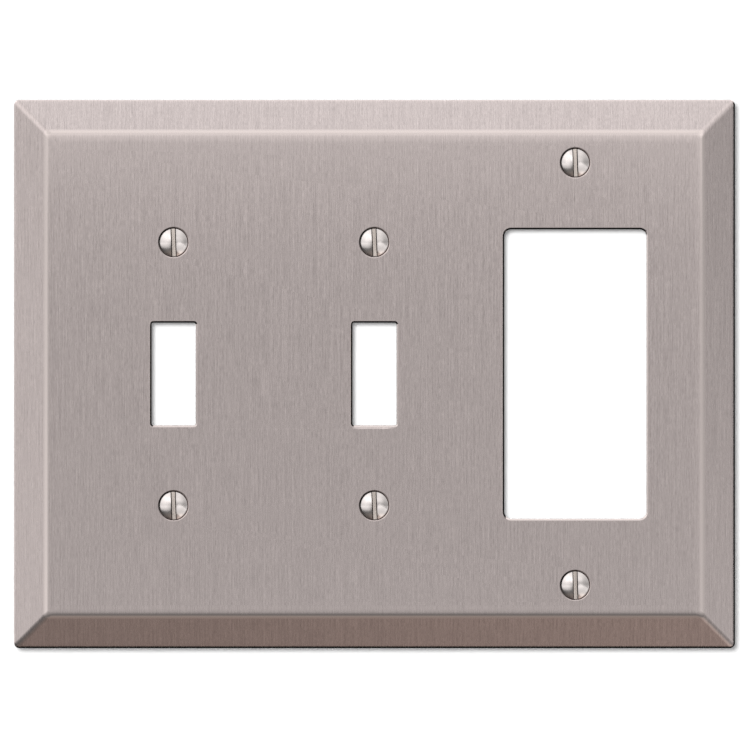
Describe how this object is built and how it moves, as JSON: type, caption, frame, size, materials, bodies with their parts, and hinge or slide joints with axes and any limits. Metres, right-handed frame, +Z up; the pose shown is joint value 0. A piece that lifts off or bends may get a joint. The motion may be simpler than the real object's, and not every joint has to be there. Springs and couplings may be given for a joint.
{
  "type": "combination wall switch plate",
  "caption": "Bevelled brushed-metal wall plate with toggle and rocker switch openings, held by slotted oval-head screws.",
  "frame": {"origin": "on the wall, at the centre of the plate: midway between the two screws of the middle toggle opening, in the plane of the plate's back rim", "axes": "+Z up, +X to the right when the plate is seen from the front, +Y into the wall; the face looks towards -Y"},
  "size_m": [0.1654, 0.0138, 0.1258],
  "materials": {
    "satin_nickel_plate": "satin nickel plating with an upright brushed grain, clear-coated",
    "bright_nickel_screw": "bright nickel plating, lightly brushed head"
  },
  "bodies": {
    "plate": {"wall_plate": "satin_nickel_plate"},
    "left_toggle_upper_screw": {"left_toggle_upper_screw": "bright_nickel_screw"},
    "left_toggle_lower_screw": {"left_toggle_lower_screw": "bright_nickel_screw"},
    "middle_toggle_upper_screw": {"middle_toggle_upper_screw": "bright_nickel_screw"},
    "middle_toggle_lower_screw": {"middle_toggle_lower_screw": "bright_nickel_screw"},
    "rocker_upper_screw": {"rocker_upper_screw": "bright_nickel_screw"},
    "rocker_lower_screw": {"rocker_lower_screw": "bright_nickel_screw"}
  },
  "joints": [
    {"name": "left_toggle_upper_screw_travel", "type": "slide", "parent": "plate", "child": "left_toggle_upper_screw", "axis": [0, -1, 0], "range_m": [0, 0.0127]},
    {"name": "left_toggle_lower_screw_travel", "type": "slide", "parent": "plate", "child": "left_toggle_lower_screw", "axis": [0, -1, 0], "range_m": [0, 0.0127]},
    {"name": "middle_toggle_upper_screw_travel", "type": "slide", "parent": "plate", "child": "middle_toggle_upper_screw", "axis": [0, -1, 0], "range_m": [0, 0.0127]},
    {"name": "middle_toggle_lower_screw_travel", "type": "slide", "parent": "plate", "child": "middle_toggle_lower_screw", "axis": [0, -1, 0], "range_m": [0, 0.0127]},
    {"name": "rocker_upper_screw_travel", "type": "slide", "parent": "plate", "child": "rocker_upper_screw", "axis": [0, -1, 0], "range_m": [0, 0.0127]},
    {"name": "rocker_lower_screw_travel", "type": "slide", "parent": "plate", "child": "rocker_lower_screw", "axis": [0, -1, 0], "range_m": [0, 0.0127]}
  ]
}
